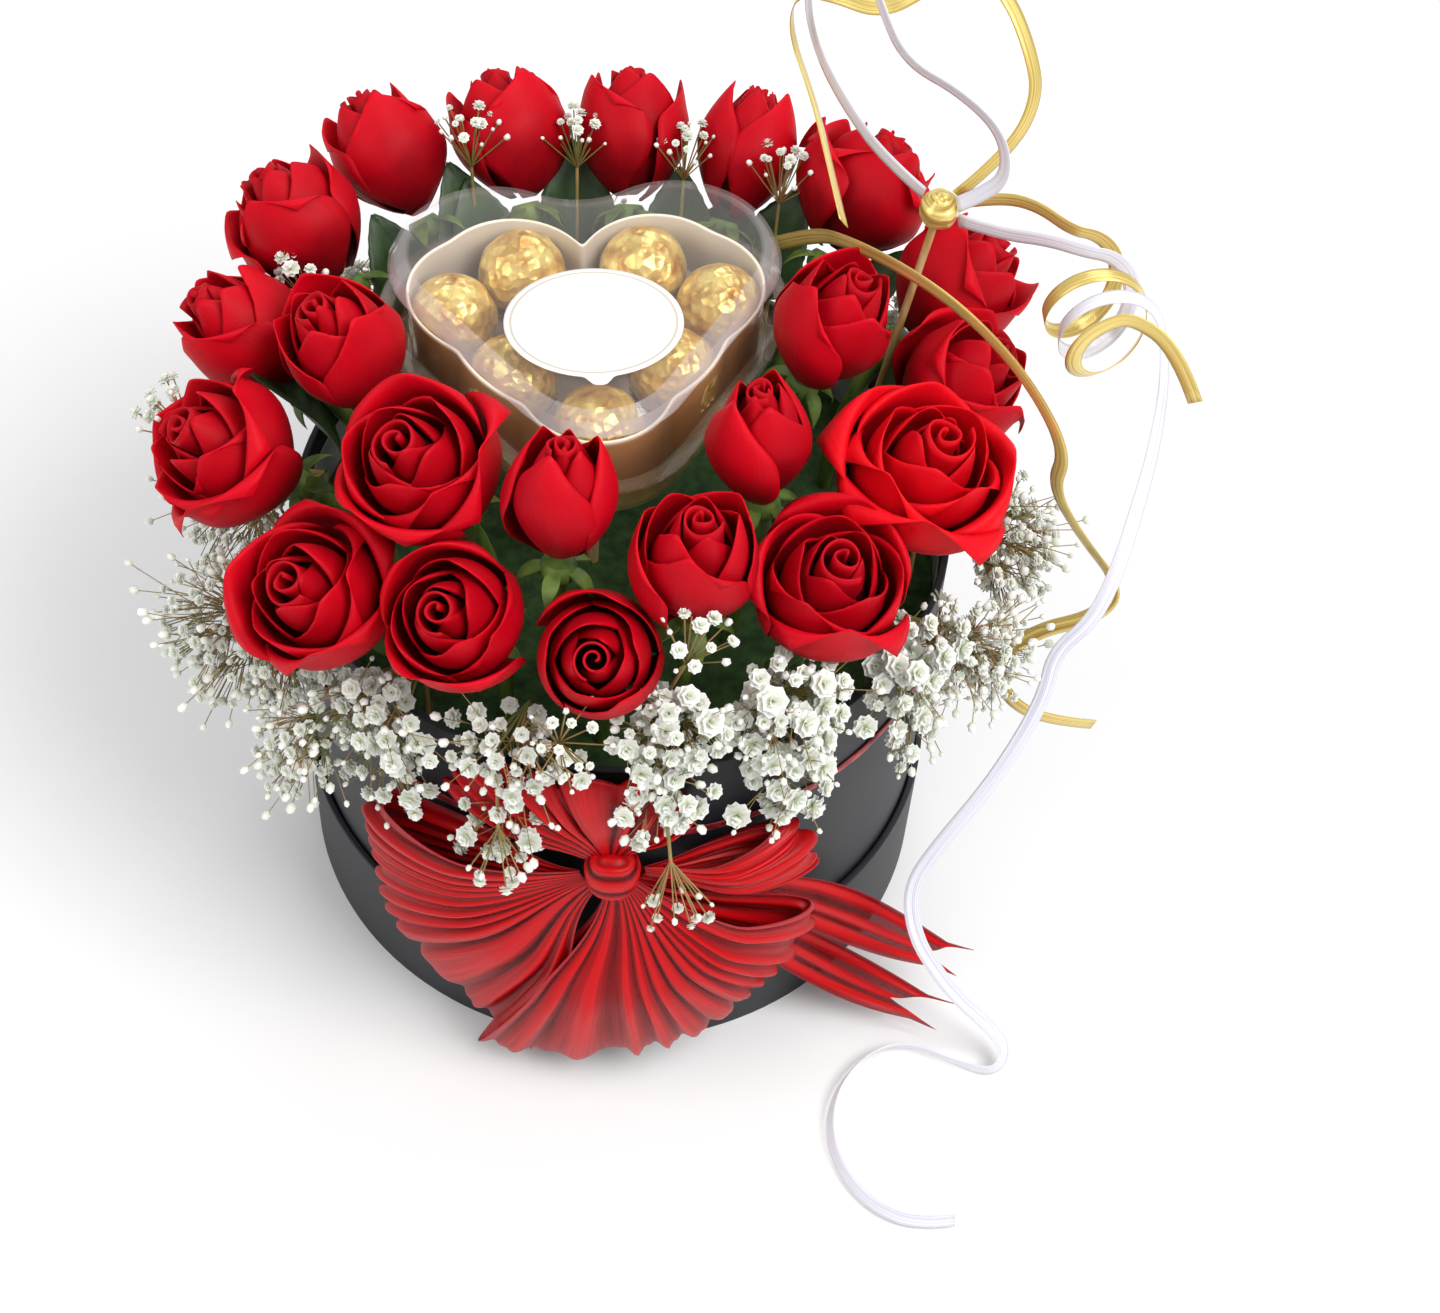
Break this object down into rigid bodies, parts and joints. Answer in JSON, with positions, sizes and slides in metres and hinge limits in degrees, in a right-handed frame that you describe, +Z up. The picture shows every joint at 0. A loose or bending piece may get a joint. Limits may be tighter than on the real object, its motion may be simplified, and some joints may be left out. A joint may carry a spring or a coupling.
{
  "type": "flower box",
  "caption": "Round black hat box of red roses and baby's breath round a clear heart-shaped box of foil-wrapped chocolates, with a sheer bow and curled ribbons.",
  "frame": {"origin": "middle of the underside of the lid that the box stands in, on the table", "axes": "+Z up, +X to the viewer's right, -Y to the front, where the bow is"},
  "size_m": [0.3161, 0.314, 0.3206],
  "materials": {
    "black_board": "matt black paper wrapped over board",
    "liner_film": "thin waterproof film",
    "wet_foam": "dark green wet floral foam",
    "rose_petal": "velvety deep red petals",
    "rose_stem": "green living stem",
    "blossom": "small white blossoms on olive twigs",
    "clear_plastic": "clear formed plastic",
    "cream_plastic": "cream formed plastic",
    "brown_paper": "pleated brown paper",
    "gold_foil": "crumpled gold foil over chocolate",
    "white_paper": "bare white oval sticker",
    "bamboo": "bare bamboo",
    "red_cloth": "sheer red organza",
    "gold_ribbon": "satin gold curling ribbon",
    "white_ribbon": "satin white curling ribbon"
  },
  "bodies": {
    "base": {"base_lid_rim": "black_board", "base_lid_panel": "black_board"},
    "drum": {"drum_wall": "black_board", "drum_floor": "black_board", "liner": "liner_film", "floral_foam": "wet_foam", "rose_01": "rose_petal", "rose_02": "rose_petal", "rose_03": "rose_petal", "rose_04": "rose_petal", "rose_05": "rose_petal", "rose_06": "rose_petal", "rose_07": "rose_petal", "rose_08": "rose_petal", "rose_09": "rose_petal", "rose_10": "rose_petal", "rose_11": "rose_petal", "rose_12": "rose_petal", "rose_13": "rose_petal", "rose_14": "rose_petal", "rose_15": "rose_petal", "rose_16": "rose_petal", "rose_17": "rose_petal", "rose_18": "rose_petal", "rose_19": "rose_petal", "rose_20": "rose_petal", "rose_21": "rose_petal", "rose_stems": "rose_stem", "gypsophila_01": "blossom", "gypsophila_02": "blossom", "gypsophila_03": "blossom", "gypsophila_04": "blossom", "gypsophila_05": "blossom", "gypsophila_06": "blossom", "gypsophila_07": "blossom", "gypsophila_08": "blossom", "gypsophila_09": "blossom", "gypsophila_10": "blossom", "gypsophila_11": "blossom", "heart_base": "clear_plastic", "heart_insert": "cream_plastic", "chocolate_cups": "brown_paper", "chocolates": "gold_foil", "heart_picks": "bamboo", "ribbon_pick": "bamboo", "waist_ribbon": "red_cloth", "bow_knot": "red_cloth", "bow_loop_left": "red_cloth", "bow_loop_right": "red_cloth", "bow_loop_top": "red_cloth", "bow_tail_upper": "red_cloth", "bow_tail_lower": "red_cloth", "ribbon_knot": "gold_ribbon", "ribbon_gold_long": "gold_ribbon", "ribbon_gold_loop": "gold_ribbon", "ribbon_white_loop": "white_ribbon", "ribbon_gold_curl": "gold_ribbon", "ribbon_white_tail": "white_ribbon"},
    "chocolate_lid": {"heart_lid": "clear_plastic", "heart_label": "white_paper"}
  },
  "joints": [
    {"name": "drum_lift", "type": "slide", "parent": "base", "child": "drum", "axis": [0, 0, 1], "range_m": [0, 0.06]},
    {"name": "lid_lift", "type": "slide", "parent": "drum", "child": "chocolate_lid", "axis": [0, 0, 1], "range_m": [0, 0.06]}
  ]
}
